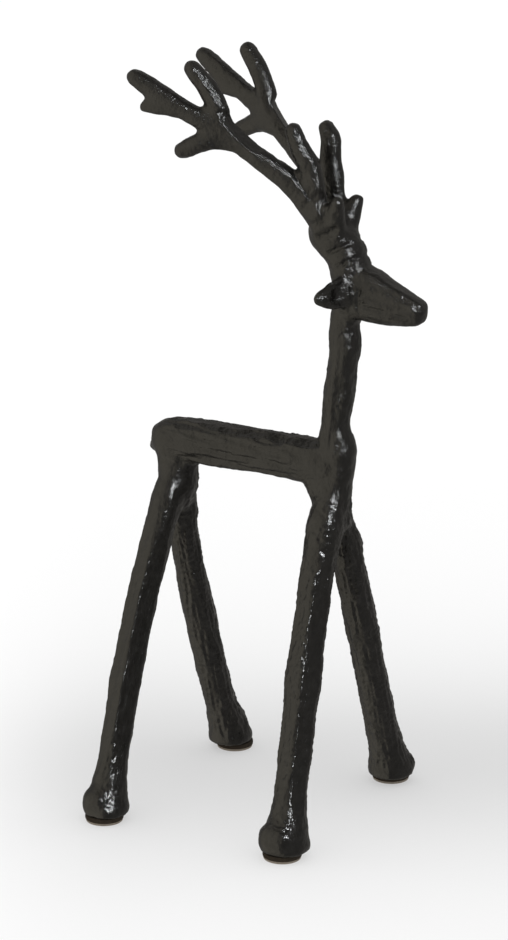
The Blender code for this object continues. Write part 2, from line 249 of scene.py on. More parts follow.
class Skin:
    """The points of a mesh in millimetres, worked like wax: each mark raises or lowers the surface."""

    def __init__(self, mesh):
        self.mesh = mesh
        self.points = read(mesh.vertices, "co") / MM - LIFT
        self.ends = read(mesh.edges, "vertices", 2, np.int32)
        self.settle()
        self.crook(0.0, 1.0)

    def settle(self):
        """Writes the points back, reads the normals and starts with no marks."""
        self.mesh.vertices.foreach_set("co", ((self.points + LIFT) * MM).ravel())
        self.mesh.update()
        self.normals = read(self.mesh.vertex_normals, "vector")
        self.rise = np.zeros(len(self.points))

    def press(self, strength=1.0):
        """Moves every point along its normal by the marks made since the last time."""
        self.points += self.normals * (self.rise * strength)[:, None]
        self.settle()

    def relax(self, weight, steps):
        """Evens out the points where the weight isn't zero."""
        first, second = self.ends.T
        count = len(self.points)
        links = np.bincount(self.ends.ravel(), minlength=count).clip(1)
        for _ in range(steps):
            for axis in range(3):
                value = self.points[:, axis]
                total = np.bincount(first, value[second], count)
                total += np.bincount(second, value[first], count)
                self.points[:, axis] += (total / links - value) * weight
        self.settle()

    def crook(self, size, wavelength):
        """Makes the marks that follow a little crooked, as a hand does."""
        self.crooked = self.points.copy()
        for axis in range(3):
            self.crooked[:, axis] += size * soft_noise(self.points / wavelength, 40 + axis)

    def noise(self, wavelength, seed, along=(0, 0, 1), stretch=1.0):
        """Noise whose hills are longer along one direction."""
        return soft_noise(squeezed(self.points, along, 1 - 1 / stretch) / wavelength, seed)

    def reach(self, places, width):
        """The points within a width of a line, their distances from it, and how far along it they lie."""
        path = np.array(places, float)
        inside = (self.crooked > path.min(axis=0) - width) & (self.crooked < path.max(axis=0) + width)
        close = np.flatnonzero(inside.all(axis=1))
        spots = self.crooked[close]
        if len(path) == 1:
            return close, np.linalg.norm(spots - path[0], axis=1), np.full(len(close), 0.5)
        nearest = np.full(len(close), np.inf)
        along = np.zeros(len(close))
        for index, (start, end) in enumerate(zip(path, path[1:])):
            run = end - start
            if not run.any():
                continue
            t = np.clip((spots - start) @ run / (run @ run), 0, 1)
            gap = np.linalg.norm(spots - start - t[:, None] * run, axis=1)
            closer = gap < nearest
            nearest[closer] = gap[closer]
            along[closer] = (index + t[closer]) / (len(path) - 1)
        return close, nearest, along

    def near(self, places, width):
        """One along a line, falling to zero at its width."""
        close, gap, _ = self.reach(places, width)
        weight = np.zeros(len(self.points))
        weight[close] = bell(gap, width)
        return weight

    def near_any(self, lines):
        """The same for several (places, width)."""
        return np.max([self.near(places, width) for places, width in lines], axis=0)

    def ridge(self, places, width, height):
        """A raised line, which fades out at its ends. A negative height cuts a groove."""
        close, gap, along = self.reach(places, width)
        fade = ramp(np.minimum(along, 1 - along), -0.02, 0.2)
        self.rise[close] += height * bell(gap, width) * fade

    def centred(self, places, radius):
        """A limb's axis: each place moved to the middle of the skin around it."""
        rough = np.array(places, float)
        path = rough.copy()
        for index, place in enumerate(rough):
            run = unit(rough[min(index + 1, len(rough) - 1)] - rough[max(index - 1, 0)])
            offset = self.points - place
            around = (offset**2).sum(axis=1) < (LIMB_REACH * radius) ** 2
            close = offset[around & (np.abs(offset @ run) < radius / 2)]
            if len(close):
                shift = close.mean(axis=0)
                path[index] += shift - (shift @ run) * run
        return curve_through(path)

    def find_limbs(self):
        """Reads the axis of every limb from the skin."""
        self.limbs = {}
        for name, (places, radius) in LIMBS.items():
            for side in BOTH:
                self.limbs[name, side] = self.centred(on_side(places, side), radius), radius
        for pad, (name, side, _, _) in LEGS.items():
            places = np.linspace(*leg_line(pad), LEG_PLACES)
            self.limbs[name, side] = self.centred(places, LEG_HALF_WIDTH), LEG_HALF_WIDTH

    def spot(self, limb, side, share, facing=None, turn=0.0):
        """The point of a limb at a share of its length, on the side towards a facing or the glint."""
        path, radius = self.limbs[limb, side]
        along = np.clip(share, 0, 1) * (len(path) - 1)
        index = min(int(along), len(path) - 2)
        run = path[index + 1] - path[index]
        centre = path[index] + (along - index) * run
        run = unit(run)
        azimuth, elevation = glint(centre) if facing is None else mirrored(facing, side)
        out = direction(azimuth + turn, elevation)
        out = unit(out - (out @ run) * run)
        close = np.flatnonzero(np.abs(self.points - centre).max(axis=1) < 2.2 * radius)
        offset = self.points[close] - centre
        level = offset @ run
        across = offset - np.outer(level, run)
        distance = np.linalg.norm(across, axis=1) + 1e-6
        match = (across @ out) / distance - 0.3 * np.abs(level) / radius - 0.05 * distance / radius
        return self.points[close[match.argmax()]]

    def line(self, limb, side, start, end, facing=None, last=None):
        """A line on a limb between two shares of its length. Its facing may turn on the way."""
        places = []
        for t in np.linspace(0, 1, LINE_PLACES):
            aim = facing
            if last is not None:
                aim = tuple(angle + (turned - angle) * t for angle, turned in zip(facing, last))
            places.append(self.spot(limb, side, start + (end - start) * t, aim))
        return np.array(places)

    def flatten(self, place, size, facing, dome, share=1.0):
        """Planes a spot so that it faces (azimuth, elevation) or glints, and leaves it slightly domed."""
        out = direction(*(glint(place) if facing is None else facing))
        spot = ((self.points - place) ** 2).sum(axis=1).argmin()
        if self.normals[spot] @ out < FLAT_LIMIT:
            return
        offset = self.points - self.points[spot]
        reach = (offset**2).sum(axis=1)
        close = np.flatnonzero((reach < (1.5 * size) ** 2) & (self.normals @ out > 0))
        offset, gap = offset[close], np.sqrt(reach[close])
        height = offset @ out
        aim = height[gap < 0.6 * size].mean() - (gap**2 - height**2) / (2 * dome)
        weight = share * ramp(gap, 1.5 * size, 0.8 * size)
        self.points[close] += np.outer((aim - height) * weight, out)

    def plane_along(self, path, size, seed, facing, dome, pitch, jitter):
        """A row of small flats of uneven size."""
        random = np.random.default_rng(seed)
        steps = np.linalg.norm(np.diff(path, axis=0), axis=1)
        reached = np.concatenate([[0], steps.cumsum()])
        for distance in np.arange(0, reached[-1], pitch):
            place = [np.interp(distance, reached, path[:, axis]) for axis in range(3)]
            place = place + random.normal(0, jitter, 3)
            turn, tilt = glint(place) if facing is None else facing
            aim = (turn + random.normal(0, 1.5), tilt + random.normal(0, 1.5))
            self.flatten(place, size * random.uniform(0.7, 1.25), aim, dome)

    def shave(self, limb, side, facing, share, start, end):
        """Cuts a long facet on a limb: nothing stands further out than a share of its half width."""
        path, radius = self.limbs[limb, side]
        close, gap, along = self.reach(path, LIMB_REACH * radius)
        slices = np.minimum((along * SLICES).astype(int), SLICES - 1)
        width = np.bincount(slices, gap, SLICES) / np.bincount(slices, minlength=SLICES).clip(1)
        half = np.interp(along, (np.arange(SLICES) + 0.5) / SLICES, width)
        spot = along * (len(path) - 1)
        index = np.minimum(spot.astype(int), len(path) - 2)
        runs = np.diff(path, axis=0)
        centre = path[index] + (spot - index)[:, None] * runs[index]
        runs /= np.linalg.norm(runs, axis=1)[:, None]
        out = direction(*mirrored(facing, side))
        outs = out - (runs @ out)[:, None] * runs
        outs = (outs / np.linalg.norm(outs, axis=1)[:, None])[index]
        extra = np.maximum(((self.points[close] - centre) * outs).sum(axis=1) - share * half, 0)
        fade = ramp(along, start, start + FACET_FADE) * ramp(along, end, end - FACET_FADE)
        fade *= ramp(gap, LIMB_REACH * radius, 1.4 * radius)
        self.points[close] -= outs * (extra * fade)[:, None]

    def pit(self, place, width, depth):
        """A small crater with a raised lip."""
        close, gap, _ = self.reach([place], 1.7 * width)
        self.rise[close] += depth * (0.45 * bell(gap, 1.7 * width) - 1.45 * bell(gap, width))

    def hammer(self, places, width, height, seed, along=(0, 0, 1), drawn=0.0):
        """A strip of small bumps and dents, which may be drawn out into lines along a direction."""
        close, gap, _ = self.reach(places, width)
        bumps = soft_noise(squeezed(self.points[close], along, drawn) / MARK_WAVE, seed)
        self.rise[close] += height * np.sqrt(bell(gap, width)) * bumps


def put(name, data):
    """Puts data into the scene as a new object at the origin."""
    piece = bpy.data.objects.new(name, data)
    bpy.context.scene.collection.objects.link(piece)
    return piece


def mesh_object(name, mesh):
    """Turns a bmesh into a new object."""
    data = bpy.data.meshes.new(name)
    mesh.to_mesh(data)
    mesh.free()
    return put(name, data)


def bake_modifiers(piece):
    """Makes what the modifiers show the piece's own mesh."""
    graph = bpy.context.evaluated_depsgraph_get()
    grown = bpy.data.meshes.new_from_object(piece.evaluated_get(graph))
    piece.modifiers.clear()
    old = piece.data
    piece.data = grown
    bpy.data.meshes.remove(old)
    grown.name = piece.name


def fit_cage(piece, steps):
    """Moves the cage so that its rounded surface passes through the solid's own corners."""
    aim = read(piece.data.vertices, "co")
    cage = aim.copy()
    for _ in range(steps):
        graph = bpy.context.evaluated_depsgraph_get()
        rounded = piece.evaluated_get(graph).to_mesh()
        cage += aim - read(rounded.vertices, "co")[:len(aim)]
        piece.evaluated_get(graph).to_mesh_clear()
        piece.data.vertices.foreach_set("co", cage.ravel())
        piece.data.update()
        piece.update_tag()
        bpy.context.view_layer.update()


def rough_casting(name, voxel):
    """A copy of the casting's solid, rounded without losing size, and remade with an even fine skin."""
    mesh = bmesh.new()
    mesh.from_mesh(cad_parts[CASTING].data)
    bmesh.ops.remove_doubles(mesh, verts=mesh.verts, dist=0.01 * MM)
    piece = mesh_object(name, mesh)
    rounding = piece.modifiers.new("rounding", "SUBSURF")
    rounding.levels = rounding.render_levels = 2
    fit_cage(piece, 3)
    skin = piece.modifiers.new("skin", "REMESH")
    skin.mode = "VOXEL"
    skin.voxel_size = voxel
    soften = piece.modifiers.new("soften", "SMOOTH")
    soften.factor = 0.5
    soften.iterations = 10
    bake_modifiers(piece)
    return piece


def lighten(piece, triangles):
    """Removes the faces that a flatter area can spare."""
    count = sum(len(face.vertices) - 2 for face in piece.data.polygons)
    fewer = piece.modifiers.new("fewer", "DECIMATE")
    fewer.ratio = min(1.0, triangles / count)
    bake_modifiers(piece)


def leg_line(pad):
    """The axis of the leg above a pad, from its hip to its sole."""
    low, high = np.array(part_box(pad)) / MM - LIFT
    foot = (*(low[:2] + high[:2]) / 2, high[2])
    return np.array([LEGS[pad][2], foot], float)


def soften_junctions(skin):
    """Flows the legs into the body and the feet into the legs."""
    hips = skin.near_any((
        ([(37, -12, 203), (37, 12, 203)], 15),
        ([(-70, -12, 200), (-72, 12, 200)], 14),
        ([(-60, -10, 206), (-60, 10, 206)], 9),
    ))
    skin.relax(hips, 70)
    ankles = []
    for pad in LEGS:
        hip, sole = leg_line(pad)
        ankles.append(([sole + (hip - sole) * ANKLE], 24))
    skin.relax(skin.near_any(ankles) * ramp(skin.points[:, 2], 6, 16), 50)


def off_the_soles(skin):
    """One on the whole casting but the soles, which stay smooth."""
    return ramp(skin.points[:, 2], 4, 12)


def spread_soles(skin):
    """Lets the lower rim of each foot reach its sole, with only a narrow rounding."""
    height = skin.points[:, 2]
    skin.rise += 0.9 * ramp(height, 12, 6) * ramp(skin.normals[:, 2], -0.95, -0.4)
    skin.press()
    skin.points[:, 2] = np.maximum(skin.points[:, 2], SOLE)
    skin.settle()


def swell(skin):
    """The uneven surface of wax built up by hand: slow waves and broad dents."""
    skin.rise += off_the_soles(skin) * (0.34 * skin.noise(17, 3) + 0.26 * skin.noise(6.5, 11))


def shape_crown(skin):
    """Rolled rings where the antlers leave the head, and hollows beside the brow tines."""
    for side in BOTH:
        for share, first, last, width, height in (
            (0.95, 215, 130, 4.2, -2.0),
            (0.62, 205, 110, 2.2, -1.4),
            (0.28, 195, 105, 2.4, -1.4),
        ):
            skin.ridge(skin.line("crown", side, share, share, (first, 0), (last, 0)), width, height)
        skin.ridge(skin.line("front_tine", side, 0.0, 0.25, (135, 0)), 4.6, -2.0)
        skin.ridge(skin.line("front_tine", side, 0.0, 0.35, (178, 0)), 1.8, -0.9)
        skin.pit(skin.spot("front_tine", side, 0.15, (190, 0)), 2.2, 0.8)


def round_brow(skin):
    """The brow tines are worn a little, and so are the ears' upper rims."""
    worn = []
    for side in BOTH:
        worn.append((skin.limbs["brow_tine", side][0], 8))
        worn.append((skin.line("ear", side, 0.1, 0.5, (90, 70)), 4))
    skin.relax(skin.near_any(worn), 6)


def shave_limbs(skin):
    """Long facets where limbs were pressed between fingers. The left front tine has none."""
    for limb, start, end, facets in (
        ("rear_leg", -0.03, 0.92, ((122, 0, 0.80), (200, 0, 0.84))),
        ("front_leg", 0.03, 0.92, ((120, 0, 0.83), (198, 0, 0.85))),
        ("beam", 0.02, 0.62, ((108, 40, 0.64), (188, -10, 0.74))),
        ("brow_tine", -0.05, 0.85, ((162, -8, 0.70),)),
    ):
        for azimuth, elevation, share in facets:
            for side in BOTH:
                skin.shave(limb, side, (azimuth, elevation), share, start, end)
    for azimuth, share in ((116, 0.78), (186, 0.78)):
        skin.shave("front_tine", RIGHT, (azimuth, 2), share, 0.02, 0.62)
    skin.settle()


def shape_ears(skin):
    """Each ear is a cupped leaf with a rolled rim, and a second lobe stands in front of it."""
    for side in BOTH:
        for share, width, height in ((0.90, 5.0, 1.4), (0.46, 5.2, -2.0), (0.06, 3.8, 1.5)):
            skin.ridge(skin.line("ear", side, share, share, (90, 60), (90, -60)), width, height)
        skin.ridge(skin.line("ear", side, 0.1, 0.75, (90, 65)), 2.1, -1.2)
        skin.rise += 1.6 * skin.near([skin.limbs["ear", side][0][-1]], 7)
        skin.ridge(skin.line("head", side, 0.12, 0.12, (180, 45), (180, -45)), 2.0, -0.8)


def shape_head(skin):
    """A furrow under the top ridge, scratched cheeks and a folded throat."""
    for side in BOTH:
        skin.ridge(skin.line("head", side, 0.25, 0.98, (180, 50), (180, 40)), 2.4, -0.6)
        skin.ridge(skin.line("head", side, 0.15, 0.90, (180, 72)), 3.0, 0.3)
        for seed, elevation in enumerate((16, -4, -22, -40)):
            cheek = skin.line("head", side, 0.28, 0.85, (180, elevation))
            skin.hammer(cheek, 4.5, 1.0, 70 + seed, (1, 0, -0.12), 0.88)
        for share, height in ((0.86, -0.7), (0.93, 0.5)):
            skin.ridge(skin.line("neck", side, share, share, (175, 0), (120, 0)), 1.8, height)


def pock_nape(skin):
    """Clusters of small craters behind the head."""
    random = np.random.default_rng(4)
    for side in BOTH:
        for _ in range(18):
            share, azimuth = random.uniform(0.0, 0.35), random.uniform(105, 160)
            place = skin.spot("crown", side, share, (azimuth, 0))
            skin.pit(place, random.uniform(1.3, 2.2), random.uniform(0.3, 0.7))


def shape_antlers(skin):
    """Irregular pinched edges along the beams and tines."""
    for seed, (limb, start, end, facing, width, height) in enumerate((
        ("upper_tine", 0.0, 1.0, (140, 15), 4.0, 0.25),
        ("beam", 0.55, 1.0, (150, 60), 3.2, 0.2),
        ("lower_tine", 0.2, 1.0, (150, -20), 3.0, 0.35),
        ("front_tine", 0.0, 1.0, (140, 10), 3.0, 0.22),
    )):
        for side in BOTH:
            skin.hammer(skin.line(limb, side, start, end, facing), width, height, 80 + seed)


def shape_trunk(skin):
    """The bar's grain, and the folds at its hips and shoulders."""
    length, height = skin.points[:, 0], skin.points[:, 2]
    bar = ramp(length, -86, -72) * ramp(length, 24, 10)
    bar *= ramp(height, 203, 211) * ramp(height, 250, 240)
    grain = skin.noise(2.8, 7, (1, 0, -0.03), 7) + 0.6 * skin.noise(1.8, 17, (1, 0, -0.05), 6)
    skin.rise += bar * grain
    for side in BOTH:
        for start, end, elevation in ((0.15, 0.27, 38), (0.58, 0.72, 40), (0.0, 0.1, 46)):
            skin.ridge(skin.line("bar", side, start, end, (180, elevation)), 1.4, -0.8)
        skin.ridge(skin.line("rear_leg", side, 0.07, 0.04, (185, 0), (100, 0)), 1.9, -0.6)
        skin.hammer(skin.line("chest", side, 0.0, 0.8, (130, 5)), 5.0, 0.2, 96)


def work_neck(skin):
    """Drawn-out wax: long upright folds, with short ripples across them."""
    neck = np.minimum(1, 2 * skin.near(skin.limbs["neck", RIGHT][0], 22))
    folds = skin.noise(4.6, 9, (0.1, 0, 1), 5) + 0.6 * skin.noise(2.4, 19, (0.1, 0, 1), 4)
    ripples = skin.noise(2.6, 29, (0, 1, 0), 3)
    skin.rise += neck * (0.55 * folds + 0.16 * ripples)
    for side in BOTH:
        skin.ridge(skin.line("neck", side, 0.05, 0.75, (165, 0)), 2.0, -0.4)
        for share in (0.22, 0.28):
            skin.pit(skin.spot("neck", side, share, (150, 0)), 1.6, 0.8)


def work_legs(skin):
    """Each leg has its own marks: pits on the front ones, folds and bumps, and drawn lines on all four."""
    for number, pad in enumerate(LEGS):
        line = leg_line(pad)
        leg = np.minimum(1, 2 * skin.near(line, 24)) * ramp(skin.points[:, 2], 4, 14)
        run = line[1] - line[0]
        drawn = skin.noise(2.0, 50 + number, run, 8)
        cross = skin.noise(2.6, 60 + number, run, 0.8)
        lines, lumps = LEGS[pad][3]
        skin.rise += leg * (lines * drawn + lumps * cross)
    for limb, side, start, end, azimuth, width, height, seed in (
        ("front_leg", RIGHT, 0.36, 0.48, 160, 3.4, 0.50, 52),
        ("front_leg", RIGHT, 0.86, 0.97, 140, 4.6, 0.30, 53),
        ("rear_leg", RIGHT, 0.80, 0.97, 145, 6.0, 0.55, 55),
        ("rear_leg", LEFT, 0.80, 0.96, 40, 5.0, 0.35, 57),
        ("front_leg", LEFT, 0.80, 0.96, 40, 5.0, 0.35, 58),
    ):
        skin.hammer(skin.line(limb, side, start, end, (azimuth, 0)), width, height, seed)
    skin.ridge(skin.line("front_leg", RIGHT, 0.17, 0.36, (192, 0)), 2.0, -0.8)
    for share in (0.28, 0.32):
        skin.ridge(skin.line("rear_leg", LEFT, share, share, (0, 0), (50, 0)), 1.6, -0.6)
    for azimuth, height in ((25, 0.8), (45, -0.6), (60, 0.6)):
        skin.ridge(skin.line("rear_leg", LEFT, 0.84, 0.95, (azimuth, 0)), 1.9, height)
    random = np.random.default_rng(6)
    for side in BOTH:
        for _ in range(9):
            share, azimuth = random.uniform(0.06, 0.55), random.uniform(158, 192)
            place = skin.spot("front_leg", side, share, (azimuth, 0))
            skin.pit(place, random.uniform(1.4, 2.2), random.uniform(0.4, 0.9))


def turn_away(skin):
    """Flats that face other ways, between the glinting ones, and the bar's broken ledges."""
    random = np.random.default_rng(12)
    for side in BOTH:
        for limb, share, facing, size in (
            ("front_tine", 0.03, (186, 6), 5.0),
            ("crown", 0.10, (150, 4), 3.5),
            ("rear_leg", 0.05, (163, 12), 4.5),
            ("front_leg", 0.15, (166, 8), 4.5),
        ):
            place = skin.spot(limb, side, share, facing)
            skin.flatten(place, size, mirrored(facing, side), 30.0, 0.85)
        for number in range(11):
            start = 0.02 + 0.088 * number
            end = start + random.uniform(0.05, 0.13)
            size = random.uniform(1.3, 1.9) * (1 + 0.6 * start)
            ledge = skin.line("bar", side, start, end, (180, random.uniform(50, 68)))
            skin.plane_along(ledge, size, 130 + number, mirrored((180, 58), side), 10.0, 1.0, 0.25)


def plane_flats(skin):
    """Small flats here and there, where the wax was dabbed and pressed: they are what glints."""
    for side in BOTH:
        for limb, share, turn, size in (
            ("crown", 0.48, -15, 0.8), ("crown", 0.10, 0, 1.2), ("crown", 0.02, 8, 0.9),
            ("head", 0.95, 0, 1.9), ("ear", 0.9, 0, 1.0), ("ear", 0.25, 0, 1.1),
            ("brow_tine", 0.95, 0, 0.8),
            ("beam", 0.12, 0, 0.6), ("beam", 0.20, 0, 0.7), ("beam", 0.34, 0, 0.7),
            ("chest", 0.12, 0, 1.4), ("chest", 0.20, 6, 0.8), ("chest", 0.45, -6, 0.9),
            ("neck", 0.25, 0, 1.1), ("neck", 0.31, 4, 0.8),
            ("front_leg", 0.05, 4, 0.9), ("front_leg", 0.26, 2, 0.7), ("front_leg", 0.33, 2, 0.5),
            ("upper_tine", 0.97, 0, 1.1),
        ):
            skin.flatten(skin.spot(limb, side, share, None, turn), size, None, 28.0)
        for seed, (limb, start, end, size) in enumerate((
            ("upper_tine", 0.0, 0.85, 1.6), ("front_tine", 0.70, 0.97, 1.3), ("front_leg", 0.92, 0.96, 1.1),
        )):
            size = size if side == RIGHT else 0.6 * size
            path = skin.line(limb, side, start, end)
            skin.plane_along(path, size, 110 + seed, None, 24.0, 1.6, 0.35)


def roughen(skin):
    """The cast grain, stronger in patches."""
    patches = off_the_soles(skin) * np.clip(0.6 + 0.9 * skin.noise(24, 5), 0.2, 1.2)
    skin.rise += patches * (0.20 * skin.noise(3.2, 21) + 0.10 * skin.noise(2.1, 31))


def keep_inside(skin, box):
    """Holds every point inside the solid's own box."""
    low, high = np.array(box) / MM - LIFT
    skin.points = np.clip(skin.points, low, high)
    skin.settle()


# The outline of a pad from the middle of its underside to the middle of its top: (distance in from the rim,
# height above the floor), in millimetres. The first and the last place are on the axis.
PAD_OUTLINE = (
    (None, 0.0), (5.0, 0.0), (1.3, 0.0), (0.8, 0.1), (0.6, 0.35), (0.55, 0.7), (0.55, 1.1), (0.6, 1.4),
    (0.4, 1.55), (0.15, 1.7), (0.04, 2.0), (0.0, 2.4), (0.0, 2.8), (0.0, 3.2), (0.03, 3.6), (0.1, 4.0),
    (0.3, 4.3), (0.7, 4.46), (1.3, 4.5), (2.2, 4.5), (5.0, 4.5), (None, 4.5),
)
PAD_STEPS = 144


def felt_pad(name, box):
    """A round pad turned from its outline: a pale backing below, and felt with a soft fuzzy rim on it."""
    low, high = np.array(box)
    middle, radius = (low + high) / 2, (high[0] - low[0]) / 2
    mesh = bmesh.new()
    outline = []
    for inset, height in PAD_OUTLINE:
        out = 0.0 if inset is None else radius - inset * MM
        outline.append(mesh.verts.new((middle[0] + out, middle[1], height * MM)))
    edges = [mesh.edges.new(pair) for pair in zip(outline, outline[1:])]
    bmesh.ops.spin(
        mesh, geom=outline + edges, cent=(middle[0], middle[1], 0.0), axis=(0, 0, 1),
        angle=math.tau, steps=PAD_STEPS, use_merge=True,
    )
    bmesh.ops.remove_doubles(mesh, verts=mesh.verts, dist=0.001 * MM)
    bmesh.ops.recalc_face_normals(mesh, faces=mesh.faces)
    for face in mesh.faces:
        face.material_index = int(face.calc_center_median().z < BACKING * MM)
    piece = mesh_object(name, mesh)
    skin = Skin(piece.data)
    felt = ramp(skin.points[:, 2], 0.0, 0.4) * ramp(skin.points[:, 2], 3.0, 2.6)
    backing = ramp(skin.points[:, 2], -1.5, -1.2) * ramp(skin.points[:, 2], 0.0, -0.2)
    fuzz = 0.6 * skin.noise(1.5, 61) + 0.4 * skin.noise(0.7, 62, (0, 0, 1), 0.5) - 0.7
    skin.rise += 0.11 * felt * fuzz + 0.05 * backing * (skin.noise(1.9, 63) - 0.8)
    skin.press()
    keep_inside(skin, box)
    piece.data.shade_smooth()
    return piece


def new_material(name):
    finish = bpy.data.materials.new(name)
    finish.use_nodes = True
    return finish, finish.node_tree.nodes, finish.node_tree.links


def set_values(node, values):
    """Sets several sockets of one node."""
    for name, value in values.items():
        node.inputs[name].default_value = value


class NodeKit:
    """Adds nodes to one tree and links them."""

    def __init__(self, tree):
        self.nodes, self.links = tree.nodes, tree.links

    def feed(self, socket, value):
        if isinstance(value, bpy.types.NodeSocket):
            self.links.new(value, socket)
        else:
            socket.default_value = value

    def calculate(self, operation, *values):
        node = self.nodes.new("ShaderNodeMath")
        node.operation = operation
        for socket, value in zip(node.inputs, values):
            self.feed(socket, value)
        return node.outputs[0]

    def rise(self, value, low, high):
        """Goes from zero to one as the value goes from low to high."""
        node = self.nodes.new("ShaderNodeMapRange")
        node.interpolation_type = "SMOOTHSTEP"
        set_values(node, {"From Min": low, "From Max": high})
        self.feed(node.inputs["Value"], value)
        return node.outputs["Result"]

    def mix(self, share, first, second):
        """Fades from the first colour to the second."""
        node = self.nodes.new("ShaderNodeMix")
        node.data_type = "RGBA"
        for number, value in ((0, share), (6, first), (7, second)):
            self.feed(node.inputs[number], value)
        return node.outputs[2]

    def band(self, wall, brightness):
        """The surroundings at one height, from the wall's share and (surroundings, wall) brightness."""
        colours = []
        for level, tint in zip(brightness, (DIM_TINT, WALL_TINT)):
            colours.append((*(level * share for share in tint), 1.0))
        return self.mix(wall, *colours)


def mottle_group():
    """Cloudy patches and a fine grain, for every finish that has them."""
    known = bpy.data.node_groups.get("mottle")
    if known:
        return known
    group = bpy.data.node_groups.new("mottle", "ShaderNodeTree")
    for name, way, kind in (
        ("Vector", "INPUT", "Vector"), ("Patch Scale", "INPUT", "Float"), ("Grain Scale", "INPUT", "Float"),
        ("Patches", "OUTPUT", "Float"), ("Grain", "OUTPUT", "Float"),
    ):
        group.interface.new_socket(name, in_out=way, socket_type=f"NodeSocket{kind}")
    nodes, links = group.nodes, group.links
    given, result = nodes.new("NodeGroupInput"), nodes.new("NodeGroupOutput")
    patches, grain = nodes.new("ShaderNodeTexNoise"), nodes.new("ShaderNodeTexNoise")
    set_values(patches, {"Detail": 4.0, "Roughness": 0.6})
    set_values(grain, {"Detail": 4.0, "Roughness": 0.55})
    spread = nodes.new("ShaderNodeMapRange")
    set_values(spread, {"From Min": 0.34, "From Max": 0.66})
    for texture, scale in ((patches, "Patch Scale"), (grain, "Grain Scale")):
        links.new(given.outputs["Vector"], texture.inputs["Vector"])
        links.new(given.outputs[scale], texture.inputs["Scale"])
    links.new(patches.outputs["Fac"], spread.inputs["Value"])
    links.new(spread.outputs["Result"], result.inputs["Patches"])
    links.new(grain.outputs["Fac"], result.inputs["Grain"])
    return group


def mottled_material(name, colours, roughness, scales, bump, rest, grown=None):
    """A finish whose colour and roughness change in patches, over a fine grain that may grow with height."""
    finish, nodes, links = new_material(name)
    kit = NodeKit(finish.node_tree)
    shader = nodes["Principled BSDF"]
    place = nodes.new("ShaderNodeTexCoord")
    mottle = nodes.new("ShaderNodeGroup")
    mottle.node_tree = mottle_group()
    set_values(mottle, {"Patch Scale": scales[0], "Grain Scale": scales[1]})
    links.new(place.outputs["Object"], mottle.inputs["Vector"])
    first, second = [(*colour, 1.0) for colour in colours]
    links.new(kit.mix(mottle.outputs["Patches"], first, second), shader.inputs["Base Color"])
    sheen = nodes.new("ShaderNodeMapRange")
    set_values(sheen, {"To Min": roughness[0], "To Max": roughness[1]})
    links.new(mottle.outputs["Patches"], sheen.inputs["Value"])
    links.new(sheen.outputs["Result"], shader.inputs["Roughness"])
    relief = nodes.new("ShaderNodeBump")
    set_values(relief, {"Strength": bump[0], "Distance": bump[1]})
    height = mottle.outputs["Grain"]
    if grown:
        split, calm = nodes.new("ShaderNodeSeparateXYZ"), nodes.new("ShaderNodeMapRange")
        links.new(place.outputs["Object"], split.inputs[0])
        set_values(calm, {"From Min": grown[0], "From Max": grown[1], "To Min": 0.5, "To Max": 1.0})
        links.new(split.outputs[2], calm.inputs["Value"])
        height = kit.calculate("MULTIPLY", height, calm.outputs["Result"])
    links.new(height, relief.inputs["Height"])
    links.new(relief.outputs["Normal"], shader.inputs["Normal"])
    set_values(shader, rest)
    return finish


def iron_material(settings):
    """A glossy black-brown finish that pooled unevenly on rough iron."""
    colours = (settings.colour, settings.worn_colour)
    rough = (settings.roughness, settings.roughness + 0.12)
    return mottled_material(
        "black_iron", colours, rough, (230.0, 480.0), (0.70, 0.0010), {"IOR": 1.5}, (0.19, 0.23),
    )


def felt_material(settings):
    """Dense brown felt with pale stray fibres."""
    colours = (settings.felt_colour, settings.fibre_colour)
    return mottled_material(
        "dark_felt", colours, (0.92, 1.0), (1500.0, 3400.0), (0.8, 0.0004), {"Specular IOR Level": 0.15},
    )


def backing_material(settings):
    """The dull pale layer under the felt."""
    colours = (settings.backing_colour, tuple(0.8 * share for share in settings.backing_colour))
    return mottled_material(
        "pale_backing", colours, (0.6, 0.8), (420.0, 1600.0), (0.4, 0.0002), {"Specular IOR Level": 0.3},
    )


class CastingSettings(bpy.types.PropertyGroup):
    """The skin of the casting."""

    voxel: FloatProperty(
        name="Skin Detail", description="Width of one face of the skin before it is lightened",
        default=0.0008, unit="LENGTH",
    )
    triangles: IntProperty(
        name="Triangles", description="Most triangles that the skin keeps", default=196000,
    )
    relief: FloatProperty(
        name="Relief", description="Strength of the hand-worked surface", default=1.0,
    )
    colour: FloatVectorProperty(
        name="Colour", description="Darkest colour of the finish", subtype="COLOR",
        default=(0.0050, 0.0047, 0.0042),
    )
    worn_colour: FloatVectorProperty(
        name="Worn Colour", description="Palest colour of the finish", subtype="COLOR",
        default=(0.0095, 0.0088, 0.0078),
    )
    roughness: FloatProperty(
        name="Roughness", description="Least roughness of the finish", default=0.12, subtype="FACTOR",
    )


class PadSettings(bpy.types.PropertyGroup):
    """The felt pads under the feet."""

    felt_colour: FloatVectorProperty(
        name="Felt Colour", description="Colour of the felt", subtype="COLOR",
        default=(0.016, 0.0115, 0.007),
    )
    fibre_colour: FloatVectorProperty(
        name="Fibre Colour", description="Colour of its palest fibres", subtype="COLOR",
        default=(0.036, 0.027, 0.018),
    )
    backing_colour: FloatVectorProperty(
        name="Backing Colour", description="Colour of the layer below", subtype="COLOR",
        default=(0.22, 0.185, 0.145),
    )


